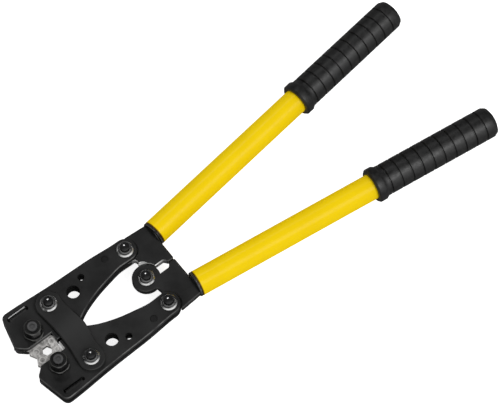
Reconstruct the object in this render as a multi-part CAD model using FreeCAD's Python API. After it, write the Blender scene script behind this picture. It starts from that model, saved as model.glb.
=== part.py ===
"""Long-handled hexagonal crimping tool for cable lugs, modelled closed.

A compound lever: two link plates hold the jaw pivots, each jaw is a pair of stamped
plates, and two forged handle ends, lapped on a centre pivot, spread the jaw tails.
Frame: origin at the centre of the crimping nest on the tool's mid-plane,
+X towards the handle ends, +Y towards the upper jaw, +Z towards the nut side.
Units are millimetres.
"""
import FreeCAD, Part
import math
import os

V = FreeCAD.Vector
UP = V(0, 0, 1)

# ---- plate stack, from the mid-plane outwards -------------------------------
JAW_GAP = 3.6            # room between the two plates of a jaw
JAW_T = 4.0              # jaw plate
LINK_T = 3.0             # link plate
SIDE_GAP = 0.15          # sliding clearance between link and jaw plates
JAW_IN = JAW_GAP / 2.0
JAW_OUT = JAW_IN + JAW_T
LINK_IN = JAW_OUT + SIDE_GAP
LINK_OUT = LINK_IN + LINK_T
BEVEL = 0.6              # broken edge of a stamped plate

# ---- pivots ------------------------------------------------------------------
AX, AY = 20.2, 24.8      # jaw pivots in the link plates
BX, BY = 87.0, 25.3      # handle pivots in the jaw tails
CX = BX - 0.5            # centre pivot, on the tool's axis between the handle pivots
BOLT_R = 4.0             # pivot bolt shank
FIT = 0.04               # radial clearance of a bolt that is held
RUN = 0.08               # radial clearance of a bolt that something turns on
WASHER_R = 6.1
WASHER_T = 1.5
NUT_R = 4.9
NUT_H = 3.0
TIP_R = 3.3              # domed bolt end over the nut
TIP_H = 2.1
DOME_H = 0.8             # of the tip's height
HEAD_R = 6.3
HEAD_H = 3.4

# ---- dies --------------------------------------------------------------------
DIE_Y = 15.1             # die axle from the parting line
DIE_GAP = 0.1            # between the two wheels when closed
DIE_APOTHEM = DIE_Y - DIE_GAP / 2.0
NESTS = [6.4, 7.6, 9.0, 10.6, 4.4, 5.4]   # across flats; the first one is in use
AXLE_R = 4.5
AXLE_HEAD_R = 6.5
AXLE_HEAD_H = 2.4
KNOB_BASE_AF = 14.0      # lower hexagon of the knob, across flats
KNOB_BASE_H = 3.4
KNOB_NECK_R = 5.4
KNOB_NECK_H = 0.8
KNOB_NUT_AF = 11.6       # upper hexagon
KNOB_NUT_H = 7.0
KNOB_BEVEL = 0.7
STUB_R = 3.4             # end of the axle above the knob
STUB_H = 1.6
SOCKET_AF = 3.6
SOCKET_D = 1.0

# ---- jaws --------------------------------------------------------------------
LIP_Y = 7.6              # straight inner edge of the plates beside the nest
LIP_FRONT = (-10.4, LIP_Y, 4.0)   # corners of the nose: x, y and rounding
NOSE_LOW = (-17.1, 13.6, 3.4)
NOSE_TOP = (-11.3, 38.7, 4.5)
NOSE_END = (-5.5, 38.6)  # the outer edge starts here
LIP_BACK_X = 9.6         # the plates close up behind the dies from here
HUB_Y = 1.0              # hidden inner edge beside the parting line
TAIL_END_R = 8.5         # the tail ends in a round on the handle pivot
BIG_HOLE_X, BIG_HOLE_Y, BIG_HOLE_R = 39.4, 22.4, 4.8
SMALL_HOLE_X, SMALL_HOLE_Y, SMALL_HOLE_R = 50.2, 27.9, 2.5
RIVET_X, RIVET_Y, RIVET_R = BX - 15.5, 28.4, 2.6
RIVET_BEVEL = 0.4
JAW_SPAN = BX - AX
# Inner edge of the tail, as shares of its span and heights over it.
TAIL_INNER = [(0.83, 17.0), (0.69, 15.3), (0.53, 13.0), (0.355, 9.3), (0.18, 3.6)]
LOOP_SHIFT = 3.1         # the lower jaw's pivot hole is a slot this long, towards the tool's axis
LOOP_CLEAR = 0.3         # round the bolt in that slot
SLOT_X0, SLOT_X1 = -9.6, 8.0
SLOT_Y = 33.0
SLOT_W = 3.6
SPRING_T = 0.9
SPRING_BACK_T = 2.2      # folded back of the spring, in the slots
SPRING_BACK_Z = 3.4      # its ends, below the plates' outer faces
SPRING_CLEAR = 0.1

# ---- link --------------------------------------------------------------------
LINK_END_R = 9.7
LINK_FRONT_X = 12.6      # middle of the front edge
LINK_REAR_X = 31.9       # middle of the rear edge

# ---- handle forgings ---------------------------------------------------------
BODY_T = 6.0             # full thickness of the forging
TONGUE_CLEAR = 0.15      # each side of the tongue, in the jaw gap
TONGUE_R = 8.0
TAIL_CLEAR = 0.35        # round the tail's end
SWING_DEG = 45.0         # swing of a handle in its jaw
TIP_L = 3.1              # beyond the swing the forging runs on along the opened tail
LOBE_R = 10.3
LAP_CLEAR = 0.1          # each side of the mid-plane between the lobes
RECESS_CLEAR = 0.4       # round the other handle's lobe
MOUTH_DEG = 50.0         # from here the recess widens to the notch
MOUTH_OUT = 1.3
NOTCH_R = 3.12           # rounded notch between lobe and tail
NOTCH_END_DEG = -30.0    # where the notch stops at the recess
RELIEF_Y = 3.3           # depth of the relief between lobe and stop face
RELIEF_X = BX + 16.9
STOP_X = BX + 19.4       # the stop faces reach from here to the rear edge
STOP_GAP = 0.3
BODY_REAR_X = BX + 24.1
BODY_REAR_Y = 32.3       # the outer edge falls to here
CORNER_R = 1.3           # rounded corners of the outline
CENTRE_R = 3.8           # centre bolt shank

# ---- handles -----------------------------------------------------------------
HANDLE_DEG = 7.42        # splay of a handle from the tool's axis
ROOT_Y = 24.6            # where the tube meets the forging
ROOT_GAP = 0.05
TUBE_R = 9.5
TUBE_WALL = 1.7
SPIGOT_CLEAR = 0.1
SPIGOT_L = 20.0
TUBE_OUT = 145.0         # bare tube between forging and grip
GRIP_L = 103.0
GRIP_R = 11.7
GRIP_FIT = 0.05
BEAD_R = 13.1
BEAD_L = 8.2
GRIP_END_T = 4.0         # closed end of the grip behind the tube
GRIP_END_ROUND = 4.0
RING_COUNT = 10
RING_PITCH = 9.0
RING_W = 1.6
RING_D = 1.0
RING_START = 10.5        # first ring from the grip's mouth

SIDES = [("upper", 1.0), ("lower", -1.0)]


# ---- small helpers -----------------------------------------------------------
def cylinder(x, y, z0, z1, r):
    return Part.makeCylinder(r, z1 - z0, V(x, y, z0), UP)


def cone(x, y, z0, z1, r0, r1):
    return Part.makeCone(r0, r1, z1 - z0, V(x, y, z0), UP)


def line(a, b):
    return Part.makeLine(V(a[0], a[1], 0), V(b[0], b[1], 0))


def arc(a, b, c):
    return Part.Arc(V(a[0], a[1], 0), V(b[0], b[1], 0), V(c[0], c[1], 0)).toShape()


def curve(points, start=None, end=None):
    """Smooth curve through the points; start and end give its direction there, if wanted."""
    spline = Part.BSplineCurve()
    ways = {}
    if start:
        ways["InitialTangent"] = V(start[0], start[1], 0)
    if end:
        ways["FinalTangent"] = V(end[0], end[1], 0)
    spline.interpolate(Points=[V(p[0], p[1], 0) for p in points], **ways)
    return spline.toShape()


def rounded_path(corners):
    """Straight path through the corners, each inner one (x, y, radius) rounded to its radius."""
    spots = [V(c[0], c[1], 0) for c in corners]
    edges = []
    here = spots[0]
    for k in range(1, len(spots) - 1):
        back = (spots[k - 1] - spots[k]).normalize()
        ahead = (spots[k + 1] - spots[k]).normalize()
        half_angle = back.getAngle(ahead) / 2.0
        radius = corners[k][2]
        start = spots[k] + back * (radius / math.tan(half_angle))
        end = spots[k] + ahead * (radius / math.tan(half_angle))
        inward = (back + ahead).normalize()
        middle = spots[k] + inward * (radius / math.sin(half_angle) - radius)
        edges += [Part.makeLine(here, start), Part.Arc(start, middle, end).toShape()]
        here = end
    edges.append(Part.makeLine(here, spots[-1]))
    return edges


def slab(edges, z0, z1):
    face = Part.Face(Part.Wire(Part.__sortEdges__(edges)))
    solid = face.extrude(V(0, 0, z1 - z0))
    solid.translate(V(0, 0, z0))
    return solid


def polygon(points, z0, z1):
    closed = points + [points[0]]
    return slab([line(closed[i], closed[i + 1]) for i in range(len(points))], z0, z1)


def break_edge(solid, z):
    """Bevel every edge that lies in the outer face at height z."""
    rim = [e for e in solid.Edges if abs(e.BoundBox.ZMin - z) < 1e-6 and abs(e.BoundBox.ZMax - z) < 1e-6]
    return solid.makeChamfer(BEVEL, rim)


def mirrored(solid, side):
    """The lower half is the upper half reflected in the tool's axis."""
    if side > 0:
        return solid
    return solid.mirror(V(0, 0, 0), V(0, 1, 0))


def flipped(solid):
    """The back plate is the front plate reflected in the mid-plane."""
    return solid.mirror(V(0, 0, 0), UP)


def on_circle(cx, cy, r, deg):
    return (cx + r * math.cos(math.radians(deg)), cy + r * math.sin(math.radians(deg)))


def towards(a, b, share):
    """Point on the way from a to b."""
    return (a[0] + (b[0] - a[0]) * share, a[1] + (b[1] - a[1]) * share)


# ---- pivots ------------------------------------------------------------------
def pivot_bolt(x, y, back, front, r):
    """Headed bolt from the face at 'back' to its domed end over the nut at 'front'."""
    top = front + WASHER_T + NUT_H
    head = cone(x, y, back - HEAD_H, back - HEAD_H + 0.8, HEAD_R - 0.8, HEAD_R)
    head = head.fuse(cylinder(x, y, back - HEAD_H + 0.8, back, HEAD_R))
    shank = cylinder(x, y, back, top, r)
    ball_r = (TIP_R ** 2 + DOME_H ** 2) / (2.0 * DOME_H)
    ball = Part.makeSphere(ball_r, V(x, y, top + TIP_H - ball_r))
    tip = cylinder(x, y, top, top + TIP_H, TIP_R).common(ball)
    return head.fuse([shank, tip]).removeSplitter()


def bevelled_washer(x, y, z, r_bore, r=WASHER_R):
    flat = WASHER_T * 0.4
    ring = cylinder(x, y, z, z + flat, r)
    ring = ring.fuse(cone(x, y, z + flat, z + WASHER_T, r, r - (WASHER_T - flat)))
    return ring.removeSplitter().cut(cylinder(x, y, z, z + WASHER_T, r_bore + FIT))


def round_nut(x, y, z, r_bore):
    nut = cylinder(x, y, z, z + NUT_H - 0.6, NUT_R)
    nut = nut.fuse(cone(x, y, z + NUT_H - 0.6, z + NUT_H, NUT_R, NUT_R - 0.6))
    return nut.removeSplitter().cut(cylinder(x, y, z, z + NUT_H, r_bore + FIT))


# ---- jaws --------------------------------------------------------------------
def jaw_outline():
    """Outline of the upper jaw plate: lip, nose, outer edge, tail, inner edge and hidden hub."""
    inner_end = (BX, BY - TAIL_END_R)
    outer_end = (BX, BY + TAIL_END_R)
    edges = rounded_path([(LIP_BACK_X, LIP_Y), LIP_FRONT, NOSE_LOW, NOSE_TOP, NOSE_END])
    edges.append(curve([NOSE_END, (AX, AY + 12.3), (AX + 0.45 * JAW_SPAN, AY + 11.1),
                        (AX + 0.67 * JAW_SPAN, BY + 10.0), outer_end], (1.0, -0.02), (1.0, 0.0)))
    edges.append(arc(outer_end, (BX + TAIL_END_R, BY), inner_end))
    inner = [(AX + share * JAW_SPAN, y) for share, y in TAIL_INNER]
    edges.append(curve([inner_end] + inner, (-1.0, 0.0), (-1.0, -0.6)))
    edges.append(line(inner[-1], (AX + 4.0, HUB_Y)))
    edges.append(line((AX + 4.0, HUB_Y), (LIP_BACK_X, HUB_Y)))
    edges.append(line((LIP_BACK_X, HUB_Y), (LIP_BACK_X, LIP_Y)))
    return edges


def slot_cut():
    r = SLOT_W / 2.0
    corner = V(SLOT_X0 + r, SLOT_Y - r, -JAW_OUT)
    mid = Part.makeBox(SLOT_X1 - SLOT_X0 - SLOT_W, SLOT_W, 2 * JAW_OUT, corner)
    ends = [cylinder(x, SLOT_Y, -JAW_OUT, JAW_OUT, r) for x in (SLOT_X0 + r, SLOT_X1 - r)]
    return mid.fuse(ends)


def link_bolt_hole(slotted):
    """Round hole for the link bolt, or a slot that lets the jaw shift along Y."""
    if not slotted:
        return cylinder(AX, AY, 0, JAW_OUT, BOLT_R + RUN)
    r = BOLT_R + LOOP_CLEAR
    mid = Part.makeBox(2 * r, LOOP_SHIFT, JAW_OUT, V(AX - r, AY - LOOP_SHIFT, 0))
    return mid.fuse([cylinder(AX, AY, 0, JAW_OUT, r), cylinder(AX, AY - LOOP_SHIFT, 0, JAW_OUT, r)])


def jaw_plate(slotted):
    """Front plate of a jaw, drawn as the upper one."""
    plate = break_edge(slab(jaw_outline(), JAW_IN, JAW_OUT), JAW_OUT)
    cuts = [link_bolt_hole(slotted),
            cylinder(BX, BY, 0, JAW_OUT, BOLT_R + FIT),
            cylinder(0, DIE_Y, 0, JAW_OUT, AXLE_R + FIT),
            cylinder(BIG_HOLE_X, BIG_HOLE_Y, 0, JAW_OUT, BIG_HOLE_R),
            cylinder(SMALL_HOLE_X, SMALL_HOLE_Y, 0, JAW_OUT, SMALL_HOLE_R),
            cylinder(RIVET_X, RIVET_Y, 0, JAW_OUT, RIVET_R + FIT),
            slot_cut()]
    return plate.cut(cuts)


def spacer_rivet():
    """Rivet flush with both plates, its ends bevelled, with a thicker barrel that keeps them apart."""
    shank = cylinder(RIVET_X, RIVET_Y, -JAW_OUT, JAW_OUT, RIVET_R)
    rims = [edge for edge in shank.Edges if edge.Length > 2 * JAW_OUT]
    shank = shank.makeChamfer(RIVET_BEVEL, rims)
    barrel = cylinder(RIVET_X, RIVET_Y, -JAW_IN, JAW_IN, RIVET_R + 1.2)
    return shank.fuse(barrel).removeSplitter()


def nest_cut(size, deg):
    """Hexagonal nest centred on the middle of the wheel's face at angle deg."""
    corner = size / math.sqrt(3.0)
    cx, cy = on_circle(0, DIE_Y, DIE_Y, deg)
    points = [on_circle(cx, cy, corner, deg + 90.0 + 60.0 * k) for k in range(6)]
    return polygon(points, -JAW_IN, JAW_IN)


def die_wheel():
    """Hexagonal wheel with six half nests, the first one at the parting line."""
    corner = DIE_APOTHEM / math.cos(math.radians(30.0))
    wheel = polygon([on_circle(0, DIE_Y, corner, 60.0 * k) for k in range(6)], -JAW_IN, JAW_IN)
    cuts = [nest_cut(size, -90.0 + 60.0 * k) for k, size in enumerate(NESTS)]
    cuts.append(cylinder(0, DIE_Y, -JAW_IN, JAW_IN, AXLE_R + FIT))
    return wheel.cut(cuts)


def hexagon(cx, cy, flats, z0, z1):
    corner = flats / math.sqrt(3.0)
    return polygon([on_circle(cx, cy, corner, 60.0 * k) for k in range(6)], z0, z1)


def chamfered_hexagon(cx, cy, flats, z0, z1):
    """Hexagon with its top corners turned off, as on a nut."""
    round_r = flats / 2.0 * 1.06
    z_bevel = z1 - KNOB_BEVEL
    top = cone(cx, cy, z_bevel, z1, round_r, round_r - KNOB_BEVEL)
    return hexagon(cx, cy, flats, z0, z1).common(cylinder(cx, cy, z0, z_bevel, round_r).fuse(top))


def knob_height():
    return KNOB_BASE_H + KNOB_NECK_H + KNOB_NUT_H


def die_axle():
    """Axle with a low head behind the back plate and a socketed stub that carries the knob."""
    head = cylinder(0, DIE_Y, -JAW_OUT - AXLE_HEAD_H, -JAW_OUT, AXLE_HEAD_R)
    shank = cylinder(0, DIE_Y, -JAW_OUT, JAW_OUT, AXLE_R)
    top = JAW_OUT + knob_height() + STUB_H
    stub = cylinder(0, DIE_Y, JAW_OUT, top, STUB_R)
    return head.fuse([shank, stub]).removeSplitter().cut(hexagon(0, DIE_Y, SOCKET_AF, top - SOCKET_D, top))


def die_knob():
    """Knob of two hexagons, one over the other, with a round neck between them."""
    z1 = JAW_OUT + KNOB_BASE_H
    z2 = z1 + KNOB_NECK_H
    z3 = z2 + KNOB_NUT_H
    base = chamfered_hexagon(0, DIE_Y, KNOB_BASE_AF, JAW_OUT, z1)
    neck = cylinder(0, DIE_Y, z1, z2, KNOB_NECK_R)
    nut = chamfered_hexagon(0, DIE_Y, KNOB_NUT_AF, z2, z3)
    return base.fuse([neck, nut]).cut(cylinder(0, DIE_Y, JAW_OUT, z3, STUB_R + FIT))


def detent_spring():
    """Folded back held in the slots of both plates and a bowed leaf that rests on the wheel."""
    half = JAW_IN - SPRING_CLEAR
    low = SLOT_Y - SPRING_BACK_T / 2.0
    top = low + SPRING_T
    x0 = SLOT_X0 + SLOT_W / 2.0
    x1 = SLOT_X1 - SLOT_W / 2.0
    back = Part.makeBox(x1 - x0, SPRING_BACK_T, 2 * SPRING_BACK_Z, V(x0, low, -SPRING_BACK_Z))
    seat = DIE_Y + DIE_APOTHEM
    under = [(x0, low), (x0 + 1.5, low), (-2.2, seat), (2.2, seat), (x1, low - 0.5)]
    over = [(x1, low + SPRING_T - 0.5), (2.4, seat + SPRING_T), (-2.4, seat + SPRING_T), (x0 + 2.4, top)]
    leaf = polygon([(x0, top)] + under + over, -half, half)
    return back.fuse(leaf).removeSplitter()


# ---- link --------------------------------------------------------------------
def link_plate():
    """Front link plate: two round ends on the jaw pivots, joined by a waist."""
    front_deg, rear_deg = 186.0, -8.0
    front = on_circle(AX, AY, LINK_END_R, front_deg)
    rear = on_circle(AX, AY, LINK_END_R, rear_deg)
    front_way = on_circle(0, 0, 1.0, front_deg + 90.0)
    rear_way = on_circle(0, 0, 1.0, rear_deg - 90.0)
    front_low, rear_low = (front[0], -front[1]), (rear[0], -rear[1])
    edges = [arc(front, (AX, AY + LINK_END_R), rear),
             arc(front_low, (AX, -AY - LINK_END_R), rear_low),
             curve([front, (LINK_FRONT_X, 0), front_low], front_way, (-front_way[0], front_way[1])),
             curve([rear, (LINK_REAR_X, 0), rear_low], rear_way, (-rear_way[0], rear_way[1]))]
    plate = break_edge(slab(edges, LINK_IN, LINK_OUT), LINK_OUT)
    return plate.cut([cylinder(AX, s * AY, 0, LINK_OUT, BOLT_R + FIT) for s in (1, -1)])


# ---- handle forgings ---------------------------------------------------------
def sweep_radius():
    """Reach of the tail's end round the handle pivot, with its clearance."""
    return TAIL_END_R + TAIL_CLEAR


def recess_radius():
    """Room for the other handle's lobe."""
    return LOBE_R + RECESS_CLEAR


def notch_centre():
    """Centre of the notch's round, which touches the lobe and the sweep of the tail."""
    from_lobe = LOBE_R + NOTCH_R
    from_tail = sweep_radius() + NOTCH_R
    span = math.hypot(BX - CX, BY)
    ux, uy = (BX - CX) / span, BY / span
    ahead = (from_lobe ** 2 - from_tail ** 2 + span ** 2) / (2.0 * span)
    aside = math.sqrt(from_lobe ** 2 - ahead ** 2)
    return (CX + ux * ahead - uy * aside, uy * ahead + ux * aside)


def body_edges(hub_r):
    """Edges that both forgings share: relief, stop face, rear, outer edge, tip and tail sweep."""
    rb = sweep_radius()
    relief = (CX + math.sqrt(hub_r ** 2 - RELIEF_Y ** 2), RELIEF_Y)
    leave = on_circle(BX, BY, rb, SWING_DEG)
    tip = towards(leave, on_circle(leave[0], leave[1], 1.0, SWING_DEG + 90.0), TIP_L)
    touch = towards((BX, BY), notch_centre(), rb / (rb + NOTCH_R))
    edges = rounded_path([relief, (RELIEF_X, RELIEF_Y, CORNER_R), (STOP_X, STOP_GAP, CORNER_R),
                          (BODY_REAR_X, STOP_GAP, CORNER_R), (BODY_REAR_X, BODY_REAR_Y, CORNER_R),
                          (tip[0], tip[1], CORNER_R * 0.6), leave])
    edges.append(arc(leave, on_circle(BX, BY, rb, -22.0), touch))
    return edges, relief, touch


def lobe_half():
    """Outline of the half with the forging's own lobe, which runs into the body."""
    edges, relief, touch = body_edges(LOBE_R)
    cx, cy = notch_centre()
    lobe_touch = towards((CX, 0), (cx, cy), LOBE_R / (LOBE_R + NOTCH_R))
    edges.append(arc(touch, (cx + NOTCH_R, cy), lobe_touch))
    edges.append(arc(lobe_touch, on_circle(CX, 0, LOBE_R, 236.0), relief))
    return edges


def mouth_edges():
    """Widened mouth of the recess, from the end of the notch's round to the recess circle."""
    rc = recess_radius()
    cx, cy = notch_centre()
    corner = on_circle(cx, cy, NOTCH_R, NOTCH_END_DEG)
    corner_deg = math.degrees(math.atan2(corner[1], corner[0] - CX))
    mouth = on_circle(CX, 0, rc, MOUTH_DEG)
    between = on_circle(CX, 0, rc + MOUTH_OUT, (corner_deg + MOUTH_DEG) / 2.0)
    return arc(corner, between, mouth), corner, mouth


def recess_half():
    """Outline of the half that makes room for the other forging's lobe."""
    rc = recess_radius()
    edges, relief, touch = body_edges(rc)
    cx, cy = notch_centre()
    widened, corner, mouth = mouth_edges()
    edges.append(arc(touch, (cx + NOTCH_R, cy), corner))
    edges.append(widened)
    edges.append(arc(mouth, on_circle(CX, 0, rc, MOUTH_DEG / 2.0 + 8.0), relief))
    return edges


def mouth_ramp():
    """Slope that fills the mouth from its outer edge down to the recess, in the front half."""
    rc = recess_radius()
    top = BODY_T / 2.0 - BEVEL
    widened, corner, mouth = mouth_edges()
    corner_deg = math.degrees(math.atan2(corner[1], corner[0] - CX))
    foot = on_circle(CX, 0, rc, corner_deg)
    inner = arc(mouth, on_circle(CX, 0, rc, (corner_deg + MOUTH_DEG) / 2.0), foot)
    ramp = slab([widened, inner, line(foot, corner)], -LAP_CLEAR, top)
    return ramp.cut(cone(CX, 0, top - MOUTH_OUT, top, rc, rc + MOUTH_OUT))


def root_x():
    """The tube's square end just touches the forging's rear edge."""
    return BODY_REAR_X + TUBE_R * math.sin(math.radians(HANDLE_DEG)) + ROOT_GAP


def handle_axis():
    return V(math.cos(math.radians(HANDLE_DEG)), math.sin(math.radians(HANDLE_DEG)), 0)


def along(distance):
    """Point on the upper handle's axis, measured from the tube's root."""
    return V(root_x(), ROOT_Y, 0) + handle_axis() * distance


def tongue():
    """Disc and web in the jaw gap; the web joins the body across the tail's sweep."""
    half = JAW_IN - TONGUE_CLEAR
    web = [(BX, BY)] + [on_circle(BX, BY, sweep_radius() + 1.5, deg) for deg in (-60.0, -25.0, 10.0, 40.0)]
    return cylinder(BX, BY, -half, half, TONGUE_R).fuse(polygon(web, -half, half))


def forging(front):
    """Upper forging, with its lobe in the front or the back half, tongue and spigot for the tube."""
    half = BODY_T / 2.0
    way = 1.0 if front else -1.0
    own = break_edge(slab(lobe_half(), way * LAP_CLEAR, way * half), way * half)
    other = break_edge(slab(recess_half(), -way * half, way * LAP_CLEAR), -way * half)
    spigot_r = TUBE_R - TUBE_WALL - SPIGOT_CLEAR
    spigot = Part.makeCylinder(spigot_r, SPIGOT_L + 5.0, along(-5.0), handle_axis())
    room = Part.makeBox(8.0, 2 * TUBE_R, 2 * TUBE_R, V(root_x() - 10.0, ROOT_Y - TUBE_R, -TUBE_R))
    room = room.cut(Part.makeBox(20.0, 2 * TUBE_R, BODY_T, V(root_x() - 12.0, ROOT_Y - TUBE_R, -half)))
    ramp = flipped(mouth_ramp()) if front else mouth_ramp()
    solid = own.fuse([other, ramp, tongue(), spigot.cut(room)]).removeSplitter()
    return solid.cut([cylinder(BX, BY, -half, half, BOLT_R + RUN),
                      cylinder(CX, 0, -half, half, CENTRE_R + (FIT if front else RUN))])


def tube():
    inside = GRIP_L - GRIP_END_T
    length = TUBE_OUT + inside
    outer = Part.makeCylinder(TUBE_R, length, along(0), handle_axis())
    return outer.cut(Part.makeCylinder(TUBE_R - TUBE_WALL, length, along(0), handle_axis()))


def grip_profile():
    """Half profile of the grip along its axis: mouth bead, ring grooves, rounded closed end."""
    bore = TUBE_R + GRIP_FIT
    points = [(0, bore), (0, BEAD_R - 1.2), (1.2, BEAD_R), (BEAD_L - 2.4, BEAD_R), (BEAD_L, GRIP_R)]
    for k in range(RING_COUNT):
        x = RING_START + k * RING_PITCH
        points += [(x, GRIP_R), (x + RING_W * 0.3, GRIP_R - RING_D), (x + RING_W * 0.7, GRIP_R - RING_D),
                   (x + RING_W, GRIP_R)]
    end = GRIP_L
    points += [(end - GRIP_END_ROUND, GRIP_R), (end - GRIP_END_ROUND * 0.3, GRIP_R - GRIP_END_ROUND * 0.35),
               (end, GRIP_R - GRIP_END_ROUND), (end, 0), (end - GRIP_END_T, 0), (end - GRIP_END_T, bore)]
    return points


def grip():
    points = [V(x, r, 0) for x, r in grip_profile()]
    face = Part.Face(Part.makePolygon(points + [points[0]]))
    solid = face.revolve(V(0, 0, 0), V(1, 0, 0), 360)
    solid.rotate(V(0, 0, 0), UP, HANDLE_DEG)
    solid.translate(along(TUBE_OUT))
    return solid


# ---- assembly ----------------------------------------------------------------
def collect():
    nodes = {}
    nodes["link_plate_front"] = link_plate()
    nodes["link_plate_back"] = flipped(link_plate())
    both = (AY, -AY)
    bolts = [pivot_bolt(AX, y, -LINK_OUT, LINK_OUT, BOLT_R) for y in both]
    nodes["link_pivot_bolts"] = Part.Compound(bolts)
    nodes["link_pivot_washers"] = Part.Compound([bevelled_washer(AX, y, LINK_OUT, BOLT_R) for y in both])
    nodes["link_pivot_nuts"] = Part.Compound([round_nut(AX, y, LINK_OUT + WASHER_T, BOLT_R) for y in both])
    for name, side in SIDES:
        jaw = {
            "jaw_plate_front": jaw_plate(side < 0),
            "jaw_plate_back": flipped(jaw_plate(side < 0)),
            "jaw_spacer_rivet": spacer_rivet(),
            "die_wheel": die_wheel(),
            "die_axle": die_axle(),
            "die_knob": die_knob(),
            "detent_spring": detent_spring(),
            "handle_pivot_bolt": pivot_bolt(BX, BY, -JAW_OUT, JAW_OUT, BOLT_R),
            "handle_pivot_washer": bevelled_washer(BX, BY, JAW_OUT, BOLT_R),
            "handle_pivot_nut": round_nut(BX, BY, JAW_OUT + WASHER_T, BOLT_R),
            "handle_forging": forging(side < 0),
            "handle_tube": tube(),
            "handle_grip": grip(),
        }
        for piece, solid in jaw.items():
            nodes[name + "_" + piece] = mirrored(solid, side)
    face = BODY_T / 2.0
    nodes["centre_pivot_bolt"] = pivot_bolt(CX, 0, -face, face, CENTRE_R)
    nodes["centre_pivot_washer"] = bevelled_washer(CX, 0, face, CENTRE_R)
    nodes["centre_pivot_nut"] = round_nut(CX, 0, face + WASHER_T, CENTRE_R)
    return nodes


os.makedirs("parts", exist_ok=True)
for node, shape in collect().items():
    shape.exportStep("parts/" + node + ".step")
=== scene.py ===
import math

import bmesh
import bpy
from mathutils import Matrix, Vector


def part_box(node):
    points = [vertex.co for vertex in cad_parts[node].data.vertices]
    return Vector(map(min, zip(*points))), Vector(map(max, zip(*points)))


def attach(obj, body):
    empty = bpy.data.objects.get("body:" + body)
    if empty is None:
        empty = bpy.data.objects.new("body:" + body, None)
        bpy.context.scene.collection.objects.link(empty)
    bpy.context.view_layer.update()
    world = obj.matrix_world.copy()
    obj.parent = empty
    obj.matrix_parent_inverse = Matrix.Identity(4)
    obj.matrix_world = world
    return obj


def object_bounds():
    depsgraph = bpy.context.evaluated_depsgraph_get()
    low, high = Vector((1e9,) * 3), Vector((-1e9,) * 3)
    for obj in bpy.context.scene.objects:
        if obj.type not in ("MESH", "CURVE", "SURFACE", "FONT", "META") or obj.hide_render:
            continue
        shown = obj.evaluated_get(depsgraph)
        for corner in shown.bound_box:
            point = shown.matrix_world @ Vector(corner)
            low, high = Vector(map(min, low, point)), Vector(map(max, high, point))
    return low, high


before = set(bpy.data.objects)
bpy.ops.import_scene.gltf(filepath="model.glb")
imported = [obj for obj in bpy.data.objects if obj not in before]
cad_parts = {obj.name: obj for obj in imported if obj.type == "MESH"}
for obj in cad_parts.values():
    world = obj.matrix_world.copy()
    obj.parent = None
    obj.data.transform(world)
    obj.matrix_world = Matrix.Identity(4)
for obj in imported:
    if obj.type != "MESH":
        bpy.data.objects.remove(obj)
cad_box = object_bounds()

# ---- Jaw plates ----------------------------------------------------------------
# Two thick stamped steel plates to each jaw, blackened all over. Handling has rubbed the
# black thin along their broken edges, except at the tails. Two walls carry a painted
# highlight in bright steel: the far wall of the upper slot, and the lip of the lower jaw
# beside the dies.
JAW_PLATES = [f"{jaw}_jaw_plate_{side}" for jaw in ("upper", "lower") for side in ("front", "back")]
COLOUR, NUMBER = "NodeSocketColor", "NodeSocketFloat"
CRISP_ANGLE = 28.0
WELD_REACH = 1e-6
BROKEN_EDGE_TILT = 0.72
BROKEN_EDGE_NEAR = 0.2
WORN_PATCH_SCALE = 110.0
WORN_PATCH_DETAIL = 4.0
WORN_FROM, WORN_TO = 0.32, 0.62
CLOUD_DETAIL = 6.0
CLOUD_COARSENESS = 0.6
CLOUD_FROM, CLOUD_TO = 0.3, 0.7
BLACK_CLOUD_SCALE = 38.0
PLATE_BLACK = (0.001, 0.001, 0.001, 1)
PLATE_SHEEN = (0.018, 0.018, 0.018, 1)
PLATE_GLOSS = 0.35
PLATE_ROUGH = (0.4, 0.6)
PLATE_WEAR = 0.5
RUBBED_STEEL = (0.30, 0.30, 0.295, 1)
# Colour of the painted highlight on two walls of the jaw plates.
PAINTED_HIGHLIGHT_STEEL = (0.9, 0.9, 0.89, 1)
UPRIGHT_TILT = 0.5
SLOT_WALL_FROM_SPRING = 0.0007
SLOT_WALL_NEAR = 0.0003
SLOT_WALL_BOTTOM = 0.0038
LIP_TILT = 0.9
LIP_X = 0.0099
LIP_NEAR = 0.0006
LIP_HALF = 0.0038
TAIL_FADE = 0.004


def smooth_rounds(node, angle):
    """Shades a CAD node's round stretches smooth and keeps its edges crisp."""
    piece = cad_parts[node]
    piece.data.shade_smooth()
    weld = piece.modifiers.new("weld", "WELD")
    weld.merge_threshold = WELD_REACH
    split = piece.modifiers.new("crisp edges", "EDGE_SPLIT")
    split.split_angle = math.radians(angle)
    return piece


def dress(piece, material):
    """Makes a material the only one of a piece."""
    piece.data.materials.clear()
    piece.data.materials.append(material)


def finish_nodes(names, material, angle=CRISP_ANGLE):
    """Smooths CAD nodes and gives them their material."""
    for name in names:
        dress(smooth_rounds(name, angle), material)


def feed(tree, slot, value):
    """Joins an output to a socket, or sets the socket to a plain value."""
    if isinstance(value, bpy.types.NodeSocket):
        tree.links.new(value, slot)
    else:
        slot.default_value = value


def add_node(tree, kind, inputs, **settings):
    """A new node with its settings made and its inputs fed."""
    node = tree.nodes.new(kind)
    for name, value in settings.items():
        setattr(node, name, value)
    for key, value in inputs.items():
        feed(tree, node.inputs[key], value)
    return node


def calc(tree, operation, *values):
    """The result of one math node on numbers and outputs."""
    return add_node(tree, "ShaderNodeMath", dict(enumerate(values)), operation=operation).outputs[0]


def all_of(tree, *masks):
    """The product of some masks: 1 where each of them is 1."""
    product = masks[0]
    for mask in masks[1:]:
        product = calc(tree, "MULTIPLY", product, mask)
    return product


def spread(tree, value, start, end, low=0.0, high=1.0, curve="LINEAR"):
    """Carries start to low and end to high, and holds the value at both."""
    ends = {"Value": value, "From Min": start, "From Max": end, "To Min": low, "To Max": high}
    return add_node(tree, "ShaderNodeMapRange", ends, interpolation_type=curve).outputs["Result"]


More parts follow.
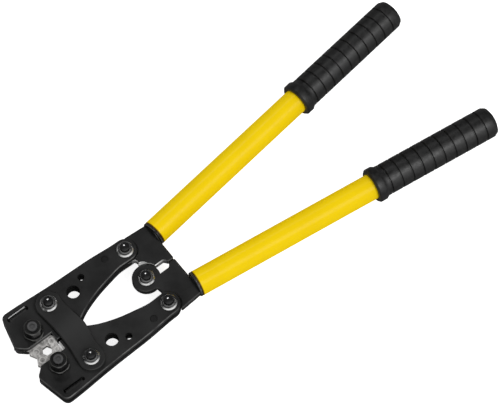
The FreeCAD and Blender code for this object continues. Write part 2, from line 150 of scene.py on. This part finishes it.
def mixed(tree, factor, first, second):
    """The first colour where factor is 0 and the second where it is 1."""
    parts = {"Factor": factor, "A": first, "B": second}
    return add_node(tree, "ShaderNodeMix", parts, data_type="RGBA").outputs["Result"]


def noise(tree, scale, **inputs):
    """Noise laid on the piece itself."""
    inputs.update(Vector=object_place(tree), Scale=scale)
    return add_node(tree, "ShaderNodeTexNoise", inputs).outputs["Fac"]


def object_place(tree):
    """The place on the piece itself, in metres."""
    return tree.nodes.new("ShaderNodeTexCoord").outputs["Object"]


def parted(tree, vector):
    """The x, y and z outputs of a vector."""
    split = add_node(tree, "ShaderNodeSeparateXYZ", {0: vector})
    return split.outputs["X"], split.outputs["Y"], split.outputs["Z"]


def tilt_of_face(tree):
    """1 on a level face, 0 on an upright wall, and between them on a slanting one."""
    normal = tree.nodes.new("ShaderNodeNewGeometry").outputs["Normal"]
    return calc(tree, "ABSOLUTE", parted(tree, normal)[2])


def new_group(name, inputs, outputs):
    """A shader node group with its named sockets, and its two ends."""
    group = bpy.data.node_groups.new(name, "ShaderNodeTree")
    for way, sockets in (("INPUT", inputs), ("OUTPUT", outputs)):
        for label, kind in sockets.items():
            group.interface.new_socket(name=label, in_out=way, socket_type=kind)
    return group, group.nodes.new("NodeGroupInput").outputs, group.nodes.new("NodeGroupOutput").inputs


def build_edge_wear():
    """Edge wear: bare metal in patches on the slanting faces between a plate's face and its
    wall, and a painted highlight in the bare colour wherever the last input says."""
    group, given, made = new_group("edge wear",
                                   {"Finish": COLOUR, "Bare": COLOUR, "Amount": NUMBER,
                                    "Patch Scale": NUMBER, "Painted Highlight": NUMBER},
                                   {"Color": COLOUR, "Mask": NUMBER})
    slanting = calc(group, "COMPARE", tilt_of_face(group), BROKEN_EDGE_TILT, BROKEN_EDGE_NEAR)
    patches = noise(group, given["Patch Scale"], Detail=WORN_PATCH_DETAIL)
    worn = all_of(group, slanting, spread(group, patches, WORN_FROM, WORN_TO))
    bare = calc(group, "MAXIMUM", all_of(group, worn, given["Amount"]), given["Painted Highlight"])
    feed(group, made["Color"], mixed(group, bare, given["Finish"], given["Bare"]))
    feed(group, made["Mask"], calc(group, "MAXIMUM", worn, given["Painted Highlight"]))
    return group


def build_cloudy():
    """A slow change between two colours and two roughnesses."""
    group, given, made = new_group("cloudy finish",
                                   {"Dark": COLOUR, "Light": COLOUR, "Cloud Scale": NUMBER,
                                    "Rough Low": NUMBER, "Rough High": NUMBER},
                                   {"Color": COLOUR, "Roughness": NUMBER})
    clouds = noise(group, given["Cloud Scale"], Detail=CLOUD_DETAIL, Roughness=CLOUD_COARSENESS)
    share = spread(group, clouds, CLOUD_FROM, CLOUD_TO)
    feed(group, made["Color"], mixed(group, share, given["Dark"], given["Light"]))
    feed(group, made["Roughness"], spread(group, share, 0.0, 1.0, given["Rough Low"], given["Rough High"]))
    return group


EDGE_WEAR = build_edge_wear()
CLOUDY = build_cloudy()


def new_material(name):
    """A material with its Principled shader, and nothing else decided."""
    material = bpy.data.materials.new(name)
    material.use_nodes = True
    return material


def feed_shader(material, inputs):
    """Feeds named inputs of a material's Principled shader."""
    tree = material.node_tree
    for name, value in inputs.items():
        feed(tree, tree.nodes["Principled BSDF"].inputs[name], value)


def cloudy_finish(name, dark, light, cloud_scale, rough):
    """A material in clouds between two colours and two roughnesses."""
    material = new_material(name)
    values = {"Dark": dark, "Light": light, "Cloud Scale": cloud_scale,
              "Rough Low": rough[0], "Rough High": rough[1]}
    clouds = add_node(material.node_tree, "ShaderNodeGroup", values, node_tree=CLOUDY, name="clouds")
    feed_shader(material, {"Base Color": clouds.outputs["Color"], "Roughness": clouds.outputs["Roughness"]})
    return material


def blackened_steel(name, dark, light, bare, wear, gloss, rough):
    """Blackened steel with a cloudy sheen and rubbed edges."""
    material = cloudy_finish(name, dark, light, BLACK_CLOUD_SCALE, rough)
    tree = material.node_tree
    values = {"Finish": tree.nodes["clouds"].outputs["Color"], "Bare": bare, "Amount": wear,
              "Patch Scale": WORN_PATCH_SCALE}
    worn = add_node(tree, "ShaderNodeGroup", values, node_tree=EDGE_WEAR, name="wear")
    feed_shader(material, {"Base Color": worn.outputs["Color"], "Metallic": worn.outputs["Mask"],
                           "Specular IOR Level": gloss})
    return material


plate_finish = blackened_steel("blackened plate", PLATE_BLACK, PLATE_SHEEN, RUBBED_STEEL,
                               PLATE_WEAR, PLATE_GLOSS, PLATE_ROUGH)
tree = plate_finish.node_tree
wear = tree.nodes["wear"]
x, y, z = parted(tree, object_place(tree))
tilt = tilt_of_face(tree)
low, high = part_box("upper_detent_spring")
# Painted highlight: bright steel colour laid on the far slot wall and the lip wall, front side only.
slot_wall_highlight = all_of(tree,
                   calc(tree, "COMPARE", x, (low.x + high.x) / 2.0, (high.x - low.x) / 2.0),
                   calc(tree, "COMPARE", y, high.y + SLOT_WALL_FROM_SPRING, SLOT_WALL_NEAR),
                   calc(tree, "GREATER_THAN", z, SLOT_WALL_BOTTOM),
                   calc(tree, "LESS_THAN", tilt, UPRIGHT_TILT))
lip_wall_highlight = all_of(tree,
                  calc(tree, "COMPARE", x, LIP_X, LIP_NEAR),
                  calc(tree, "COMPARE", y, -LIP_HALF, LIP_HALF),
                  calc(tree, "GREATER_THAN", z, 0.0),
                  calc(tree, "LESS_THAN", tilt, LIP_TILT))
wall_highlights = calc(tree, "MAXIMUM", slot_wall_highlight, lip_wall_highlight)
low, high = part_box("upper_handle_pivot_bolt")
pivot_x = (low.x + high.x) / 2.0
before_tail = spread(tree, x, pivot_x + TAIL_FADE, pivot_x)
feed(tree, wear.inputs["Amount"], all_of(tree, before_tail, PLATE_WEAR))
feed_shader(plate_finish, {"Base Color": mixed(tree, wall_highlights, wear.outputs["Color"], PAINTED_HIGHLIGHT_STEEL),
                           "Metallic": all_of(tree, before_tail, wear.outputs["Mask"])})
finish_nodes(JAW_PLATES, plate_finish)

# ---- Link plates ---------------------------------------------------------------
# Two thinner stamped plates, one on each side, that hold the jaws on their pivots. They
# are blackened like the jaw plates, hardly rubbed, and carry a painted sheen that makes
# them a little lighter in the middle.
LINK_SHEEN = (0.022, 0.022, 0.022, 1)
LINK_WEAR = 0.15
LINK_MIDDLE = 0.02
link_finish = blackened_steel("blackened link", PLATE_BLACK, PLATE_SHEEN, RUBBED_STEEL,
                              LINK_WEAR, PLATE_GLOSS, PLATE_ROUGH)
tree = link_finish.node_tree
# Painted sheen: the colour turns towards LINK_SHEEN near the plate's middle.
aside = calc(tree, "ABSOLUTE", parted(tree, object_place(tree))[1])
middle = spread(tree, aside, LINK_MIDDLE, 0.0, curve="SMOOTHSTEP")
lighter = mixed(tree, middle, tree.nodes["clouds"].outputs["Color"], LINK_SHEEN)
feed(tree, tree.nodes["wear"].inputs["Finish"], lighter)
finish_nodes(["link_plate_front", "link_plate_back"], link_finish)

# ---- Handle forgings -----------------------------------------------------------
# Two drop forgings with a lobe for the centre bolt and a tongue between the jaw plates,
# blackened like them. The walls above the centre bolt, where the other forging's lobe
# turns, carry a painted highlight of bare bright steel, less and less away from the bolt.
# Bare colour of the forgings' edge wear and of their painted highlight.
FORGING_BARE_AND_HIGHLIGHT = (0.75, 0.75, 0.74, 1)
FORGING_WEAR = 0.1
FORGING_ROUGH = (0.38, 0.56)
WALL_HIGHLIGHT_FROM = 0.011
WALL_HIGHLIGHT_FULL = 0.0125
WALL_HIGHLIGHT_TO = 0.02
WALL_TILT = 0.95


def reach_from(tree, x, y):
    """Distance over the plate's face from the upright line through x and y."""
    flat = add_node(tree, "ShaderNodeVectorMath", {0: object_place(tree), 1: (1, 1, 0)}, operation="MULTIPLY")
    ends = {0: flat.outputs[0], 1: (x, y, 0)}
    return add_node(tree, "ShaderNodeVectorMath", ends, operation="DISTANCE").outputs["Value"]


forging_finish = blackened_steel("blackened forging", PLATE_BLACK, PLATE_SHEEN, FORGING_BARE_AND_HIGHLIGHT,
                                 FORGING_WEAR, PLATE_GLOSS, FORGING_ROUGH)
tree = forging_finish.node_tree
low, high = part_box("centre_pivot_bolt")
reach = reach_from(tree, (low.x + high.x) / 2.0, (low.y + high.y) / 2.0)
# Painted highlight: mask of the bright walls above the centre bolt, fading away from it.
rubbed = all_of(tree,
                calc(tree, "GREATER_THAN", reach, WALL_HIGHLIGHT_FROM),
                spread(tree, reach, WALL_HIGHLIGHT_TO, WALL_HIGHLIGHT_FULL),
                calc(tree, "GREATER_THAN", parted(tree, object_place(tree))[1], 0.0),
                calc(tree, "LESS_THAN", tilt_of_face(tree), WALL_TILT))
feed(tree, tree.nodes["wear"].inputs["Painted Highlight"], rubbed)
finish_nodes(["upper_handle_forging", "lower_handle_forging"], forging_finish)

# ---- Pivot bolts ---------------------------------------------------------------
# Turned steel bolts with a domed end that stands over the nut. They are blackened and
# oily, so that each dome carries one sharp highlight.
BOLTS = ["link_pivot_bolts", "upper_handle_pivot_bolt", "lower_handle_pivot_bolt", "centre_pivot_bolt"]
BOLT_BLACK = (0.006, 0.006, 0.007, 1)
BOLT_SHEEN = (0.012, 0.012, 0.012, 1)
BOLT_BARE = (0.14, 0.14, 0.14, 1)
OIL_FILM = 0.5
OIL_ROUGH = 0.1
bolt_finish = blackened_steel("oily black bolt", BOLT_BLACK, BOLT_SHEEN, BOLT_BARE,
                              wear=0.25, gloss=0.25, rough=(0.12, 0.2))
feed_shader(bolt_finish, {"Coat Weight": OIL_FILM, "Coat Roughness": OIL_ROUGH})
finish_nodes(BOLTS, bolt_finish)

# ---- Spacer rivets -------------------------------------------------------------
# One rivet to each jaw keeps its two plates apart. Its head is set flush and blackened
# with the plates, and it is duller than they are.
RIVET_SHEEN = (0.01, 0.01, 0.01, 1)
rivet_finish = blackened_steel("dull black rivet", PLATE_BLACK, RIVET_SHEEN, RUBBED_STEEL,
                               wear=0.1, gloss=0.3, rough=(0.5, 0.7))
finish_nodes(["upper_jaw_spacer_rivet", "lower_jaw_spacer_rivet"], rivet_finish)

# ---- Washers -------------------------------------------------------------------
# Bright turned steel washers with a broad bevel, one under each nut. The bevel throws
# the light in front back as a white crescent.
WASHERS = ["link_pivot_washers", "upper_handle_pivot_washer", "lower_handle_pivot_washer",
           "centre_pivot_washer"]
WASHER_DULL = (0.6, 0.6, 0.6, 1)
WASHER_BRIGHT = (0.82, 0.82, 0.81, 1)
washer_finish = cloudy_finish("bright turned steel", WASHER_DULL, WASHER_BRIGHT,
                              cloud_scale=160.0, rough=(0.2, 0.34))
feed_shader(washer_finish, {"Metallic": 1.0})
finish_nodes(WASHERS, washer_finish)

# ---- Nuts ----------------------------------------------------------------------
# Round nuts of grey plated steel on the bolts' threads, duller than the washers that
# lie under them.
NUTS = ["link_pivot_nuts", "upper_handle_pivot_nut", "lower_handle_pivot_nut", "centre_pivot_nut"]
NUT_DARK = (0.1, 0.1, 0.1, 1)
NUT_LIGHT = (0.22, 0.22, 0.22, 1)
nut_finish = cloudy_finish("grey plated nut", NUT_DARK, NUT_LIGHT, cloud_scale=260.0, rough=(0.3, 0.45))
feed_shader(nut_finish, {"Metallic": 1.0})
finish_nodes(NUTS, nut_finish)

# ---- Die wheels ----------------------------------------------------------------
# Hexagonal wheels of ground tool steel with a half nest in each side and a ring stamped
# by each corner. Handling has left the steel mottled. Painted shade blackens the front
# end between the plates, and a painted highlight lays a white band beside the lip.
STAMP_RADIUS = 0.0021
STAMP_LINE = 0.00045
STAMP_FROM_AXLE = 0.0132
STAMP_STEEL = (0.71, 0.70, 0.68, 1)
STAMP_STRENGTH = 0.6
STAMP_DEPTH = 0.0002
CORNERS = 6
DIE_DARK = (0.12, 0.117, 0.111, 1)
DIE_LIGHT = (0.84, 0.82, 0.80, 1)
DIE_METAL = 0.4
PAINTED_SHADE_BLACK = (0.02, 0.02, 0.02, 1)
PAINTED_SHADE_FULL = 0.0045
PAINTED_SHADE_END = 0.0065
PAINTED_HIGHLIGHT_WHITE = (1, 1, 1, 1)
BAND_HIGHLIGHT_FROM_X = 0.0085
BAND_HIGHLIGHT_BELOW_Y = 0.0009


def die_steel(node):
    """Mottled ground steel with a ring stamped by each corner of one wheel, with painted
    shade at its front end and a painted highlight band beside the lip.
    """
    low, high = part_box(node)
    centre = (low + high) / 2.0
    material = cloudy_finish(f"ground steel {node}", DIE_DARK, DIE_LIGHT, cloud_scale=420.0, rough=(0.3, 0.5))
    tree = material.node_tree
    stamps = 0.0
    for k in range(CORNERS):
        turn = math.tau * k / CORNERS
        reach = reach_from(tree, centre.x + STAMP_FROM_AXLE * math.cos(turn),
                           centre.y + STAMP_FROM_AXLE * math.sin(turn))
        stamps = calc(tree, "MAXIMUM", stamps, calc(tree, "COMPARE", reach, STAMP_RADIUS, STAMP_LINE))
    x, y = parted(tree, object_place(tree))[:2]
    stamped = mixed(tree, stamps, tree.nodes["clouds"].outputs["Color"], STAMP_STEEL)
    # Painted shade: black at the wheel's front end, between the plates.
    oily = mixed(tree, spread(tree, x, low.x + PAINTED_SHADE_FULL, low.x + PAINTED_SHADE_END), PAINTED_SHADE_BLACK, stamped)
    # Painted highlight: a white, non-metal band beside the lip.
    band_highlight = all_of(tree, calc(tree, "GREATER_THAN", x, BAND_HIGHLIGHT_FROM_X),
                   calc(tree, "LESS_THAN", y, BAND_HIGHLIGHT_BELOW_Y))
    dent = add_node(tree, "ShaderNodeBump",
                    {"Strength": STAMP_STRENGTH, "Distance": STAMP_DEPTH, "Height": stamps}, invert=True)
    feed_shader(material, {"Base Color": mixed(tree, band_highlight, oily, PAINTED_HIGHLIGHT_WHITE),
                           "Metallic": calc(tree, "MULTIPLY_ADD", band_highlight, -DIE_METAL, DIE_METAL),
                           "Normal": dent.outputs["Normal"]})
    return material


for name in ("upper_die_wheel", "lower_die_wheel"):
    finish_nodes([name], die_steel(name))

# ---- Die knobs and axles -------------------------------------------------------
# Blackened hexagons that turn the wheels, with the axle's end standing above. The
# corners are rubbed from the fingers and the spanner.
KNOB_SHEEN = (0.006, 0.006, 0.006, 1)
KNOB_BARE = (0.32, 0.32, 0.31, 1)
AXLE_DARK = (0.03, 0.03, 0.032, 1)
AXLE_LIGHT = (0.07, 0.07, 0.07, 1)
AXLE_BARE = (0.5, 0.5, 0.49, 1)
knob_finish = blackened_steel("rubbed black knob", PLATE_BLACK, KNOB_SHEEN, KNOB_BARE,
                              wear=0.4, gloss=0.3, rough=(0.26, 0.4))
axle_finish = blackened_steel("rubbed axle end", AXLE_DARK, AXLE_LIGHT, AXLE_BARE,
                              wear=0.9, gloss=0.5, rough=(0.32, 0.42))
for jaw in ("upper", "lower"):
    finish_nodes([f"{jaw}_die_knob"], knob_finish)
    finish_nodes([f"{jaw}_die_axle"], axle_finish)

# ---- Detent springs ------------------------------------------------------------
# A strip of spring steel across each jaw, seen through the slots, that snaps the
# wheel into place.
SPRING_STEEL = (0.06, 0.06, 0.06, 1)
SPRING_ROUGH = 0.35
spring_finish = new_material("spring steel")
feed_shader(spring_finish, {"Base Color": SPRING_STEEL, "Metallic": 1.0, "Roughness": SPRING_ROUGH})
finish_nodes(["upper_detent_spring", "lower_detent_spring"], spring_finish)

# ---- Handle tubes --------------------------------------------------------------
# Steel tubes pushed over the forgings' spigots, welded there, and sprayed in a glossy
# yellow that flowed out smooth. The yellow turns dark brown in a narrow band at each tube's foot.
YELLOW = (0.83, 0.59, 0.002, 1)
YELLOW_THIN = (0.79, 0.55, 0.002, 1)
LACQUER = 0.16
LACQUER_ROUGH = 0.25
FOOT_BAND_BROWN = (0.10, 0.05, 0.001, 1)
FOOT_BAND_FULL = 0.0004
FOOT_BAND_END = 0.0011
HANDLE_SPLAY = math.radians(7.42)
tube_finish = cloudy_finish("glossy yellow paint", YELLOW_THIN, YELLOW, cloud_scale=30.0, rough=(0.34, 0.42))
tree = tube_finish.node_tree
low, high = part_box("upper_handle_tube")
tube_r = (high.z - low.z) / 2.0
tube_axis = Vector((math.cos(HANDLE_SPLAY), math.sin(HANDLE_SPLAY), 0))
foot = tube_axis.dot(Vector((low.x + 2.0 * tube_r * math.sin(HANDLE_SPLAY), low.y, 0)))
folded = add_node(tree, "ShaderNodeVectorMath", {0: object_place(tree)}, operation="ABSOLUTE").outputs[0]
along = add_node(tree, "ShaderNodeVectorMath", {0: folded, 1: tube_axis}, operation="DOT_PRODUCT")
# Dark brown in a narrow band at the tube's foot, yellow beyond it.
past_foot_band = spread(tree, along.outputs["Value"], foot + FOOT_BAND_FULL, foot + FOOT_BAND_END)
foot_banded = mixed(tree, past_foot_band, FOOT_BAND_BROWN, tree.nodes["clouds"].outputs["Color"])
feed_shader(tube_finish, {"Base Color": foot_banded, "Specular IOR Level": 0.0, "Coat Weight": LACQUER,
                          "Coat Roughness": LACQUER_ROUGH})
finish_nodes(["upper_handle_tube", "lower_handle_tube"], tube_finish)

# ---- Weld beads ----------------------------------------------------------------
# Each tube is welded to its forging all round its end. The bead is a row of
# overlapping ripples of uneven size, blackened with the forging.
RIPPLES = 54
RIPPLE_SIZE = 0.00115
RIPPLE_UNEVEN = 0.2
RIPPLE_BEAT = 2.4
RIPPLE_BACK = 0.8
RIPPLE_ROUND = 2
BEAD_DEPTH = 0.0011
BEAD_BLACK = (0.002, 0.002, 0.002, 1)
BEAD_SHEEN = (0.008, 0.008, 0.008, 1)
BEAD_BARE = (0.5, 0.5, 0.48, 1)


def add_piece(name, bm):
    """A new object at the origin with the mesh that was made in bm."""
    mesh = bpy.data.meshes.new(name)
    bm.to_mesh(mesh)
    bm.free()
    piece = bpy.data.objects.new(name, mesh)
    bpy.context.scene.collection.objects.link(piece)
    return piece


bead_finish = blackened_steel("blackened weld", BEAD_BLACK, BEAD_SHEEN, BEAD_BARE,
                              wear=0.35, gloss=0.3, rough=(0.35, 0.5))
for handle, side in (("upper", 1), ("lower", -1)):
    low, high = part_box(f"{handle}_handle_tube")
    tube_r = (high.z - low.z) / 2.0
    nearest = low.y if side > 0 else high.y
    root = Vector((low.x + tube_r * math.sin(HANDLE_SPLAY),
                   nearest + side * tube_r * math.cos(HANDLE_SPLAY), 0))
    bm = bmesh.new()
    for k in range(RIPPLES):
        around = Matrix.Rotation(math.tau * k / RIPPLES, 4, "X")
        out = Matrix.Translation((-RIPPLE_SIZE * RIPPLE_BACK, 0, tube_r - BEAD_DEPTH))
        size = RIPPLE_SIZE * (1.0 - RIPPLE_UNEVEN * math.sin(RIPPLE_BEAT * k) ** 2)
        bmesh.ops.create_icosphere(bm, subdivisions=RIPPLE_ROUND, radius=size, matrix=around @ out)
    onto_tube = Matrix.Translation(root) @ Matrix.Rotation(side * HANDLE_SPLAY, 4, "Z")
    bmesh.ops.transform(bm, matrix=onto_tube, verts=bm.verts)
    bead = add_piece(f"{handle}_weld_bead", bm)
    bead.data.shade_smooth()
    dress(bead, bead_finish)
    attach(bead, f"handle_{handle}")

# ---- Grips ---------------------------------------------------------------------
# Moulded black rubber sleeves pushed over the tubes, with a bead at the mouth, ring
# grooves and a rounded closed end. The rubber is finely mottled and half glossy.
RUBBER_DARK = (0.006, 0.006, 0.006, 1)
RUBBER_LIGHT = (0.016, 0.016, 0.016, 1)
RUBBER_GLOSS = 0.4
GRIP_ANGLE = 40.0
grip_finish = cloudy_finish("moulded black rubber", RUBBER_DARK, RUBBER_LIGHT,
                            cloud_scale=380.0, rough=(0.33, 0.54))
feed_shader(grip_finish, {"Specular IOR Level": RUBBER_GLOSS})
finish_nodes(["upper_handle_grip", "lower_handle_grip"], grip_finish, GRIP_ANGLE)

# ---- Floor ---------------------------------------------------------------------
# A plain white table under the tool. It is lit up to full white for the eye alone, and
# what the steel mirrors of it is dim, so that the black bevels stay dark.
FLOOR_HALF = 4.0
FLOOR_CENTRE_X = 0.18
WHITE = (1, 1, 1, 1)
FLOOR_WHITE = (0.8, 0.8, 0.8, 1)
FLOOR_MIRRORED = (0.2, 0.2, 0.2, 1)
SEEN_GLOW = 0.8
bm = bmesh.new()
bmesh.ops.create_grid(bm, x_segments=1, y_segments=1, size=FLOOR_HALF,
                      matrix=Matrix.Translation((FLOOR_CENTRE_X, 0, cad_box[0][2])))
floor = add_piece("floor", bm)
floor_finish = new_material("white table")
tree = floor_finish.node_tree
ray = tree.nodes.new("ShaderNodeLightPath").outputs
feed_shader(floor_finish, {"Base Color": mixed(tree, ray["Is Glossy Ray"], FLOOR_WHITE, FLOOR_MIRRORED),
                           "Roughness": 1.0,
                           "Specular IOR Level": 0.0,
                           "Emission Color": WHITE,
                           "Emission Strength": all_of(tree, ray["Is Camera Ray"], SEEN_GLOW)})
dress(floor, floor_finish)

# ---- Light ---------------------------------------------------------------------
# Soft light from all sides, with a broad lamp low in front and a small one high at the
# back. Steel mirrors a room that is bright in front and dim behind, and the domes of
# the bolts have a lamp of their own at the back for their highlights.
ROOM_LIGHT = 0.72
FRONT_SHINE = 0.95
BACK_SHINE = 0.05
FRONT = Vector((-0.3, -0.93, 0.2)).normalized()
SHINE_FROM, SHINE_FULL = 0.1, 0.75
FRONT_LAMP_TOWARDS = (0.24, -0.6, 0.75)
BACK_LAMP_TOWARDS = (0.222, 0.508, 0.832)
world = bpy.data.worlds.new("light tent")
world.use_nodes = True
tree = world.node_tree
sky = tree.nodes["Background"]
ray = tree.nodes.new("ShaderNodeLightPath").outputs
outwards = tree.nodes.new("ShaderNodeTexCoord").outputs["Generated"]
facing = add_node(tree, "ShaderNodeVectorMath", {0: outwards, 1: FRONT}, operation="DOT_PRODUCT")
mirrored = spread(tree, facing.outputs["Value"], SHINE_FROM, SHINE_FULL, BACK_SHINE, FRONT_SHINE)
unseen = spread(tree, ray["Is Glossy Ray"], 0.0, 1.0, ROOM_LIGHT, mirrored)
feed(tree, sky.inputs["Strength"], spread(tree, ray["Is Camera Ray"], 0.0, 1.0, unseen, 1.0))
sky.inputs["Color"].default_value = WHITE
bpy.context.scene.world = world


def add_sun(name, towards, strength, spread_deg):
    """Lamp far away in the direction 'towards', seen spread_deg wide."""
    lamp = bpy.data.lights.new(name, "SUN")
    lamp.energy = strength
    lamp.angle = math.radians(spread_deg)
    sun = bpy.data.objects.new(name, lamp)
    sun.rotation_euler = Vector(towards).to_track_quat("Z", "Y").to_euler()
    bpy.context.scene.collection.objects.link(sun)
    return sun


def dome_list(name, state):
    """Collection of the domed bolts, to be lit (INCLUDE) or passed over (EXCLUDE) by a lamp."""
    domes = bpy.data.collections.new(name)
    for bolt in BOLTS:
        domes.objects.link(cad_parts[bolt])
    for entry in domes.collection_objects:
        entry.light_linking.link_state = state
    return domes


front_lamp = add_sun("soft front lamp", FRONT_LAMP_TOWARDS, strength=1.25, spread_deg=30)
add_sun("small back lamp", BACK_LAMP_TOWARDS, strength=0.2, spread_deg=6)
dome_lamp = add_sun("dome lamp", BACK_LAMP_TOWARDS, strength=1.2, spread_deg=15)
front_lamp.light_linking.receiver_collection = dome_list("domes without front lamp", "EXCLUDE")
dome_lamp.light_linking.receiver_collection = dome_list("domes with dome lamp", "INCLUDE")

# ---- Camera --------------------------------------------------------------------
# A long lens looks steeply down at the middle of the closed tool, from the jaws' end and
# from the lower handle's side.
CAMERA_AZIMUTH = math.radians(-38.537)
CAMERA_ELEVATION = math.radians(66.875)
CAMERA_ROLL = math.radians(0.207)
CAMERA_DISTANCE = 1.5685
CAMERA_LENS = 158.2
CAMERA_AIM = Vector((0.17823, -0.00146, 0))
SENSOR_WIDTH = 36.0
CLIP_END = 20.0
forward = Vector((-math.sin(CAMERA_AZIMUTH) * math.cos(CAMERA_ELEVATION),
                  math.cos(CAMERA_AZIMUTH) * math.cos(CAMERA_ELEVATION),
                  -math.sin(CAMERA_ELEVATION)))
level_right = Vector((math.cos(CAMERA_AZIMUTH), math.sin(CAMERA_AZIMUTH), 0))
right = Matrix.Rotation(-CAMERA_ROLL, 3, forward) @ level_right
up = right.cross(forward)
turned = Matrix((right, up, -forward)).transposed().to_4x4()
camera_data = bpy.data.cameras.new("camera")
camera_data.lens = CAMERA_LENS
camera_data.sensor_width = SENSOR_WIDTH
camera_data.sensor_fit = "HORIZONTAL"
camera_data.clip_end = CLIP_END
camera = bpy.data.objects.new("camera", camera_data)
camera.matrix_world = Matrix.Translation(CAMERA_AIM - forward * CAMERA_DISTANCE) @ turned
bpy.context.scene.collection.objects.link(camera)
bpy.context.scene.camera = camera
bpy.context.scene.view_settings.view_transform = "Standard"
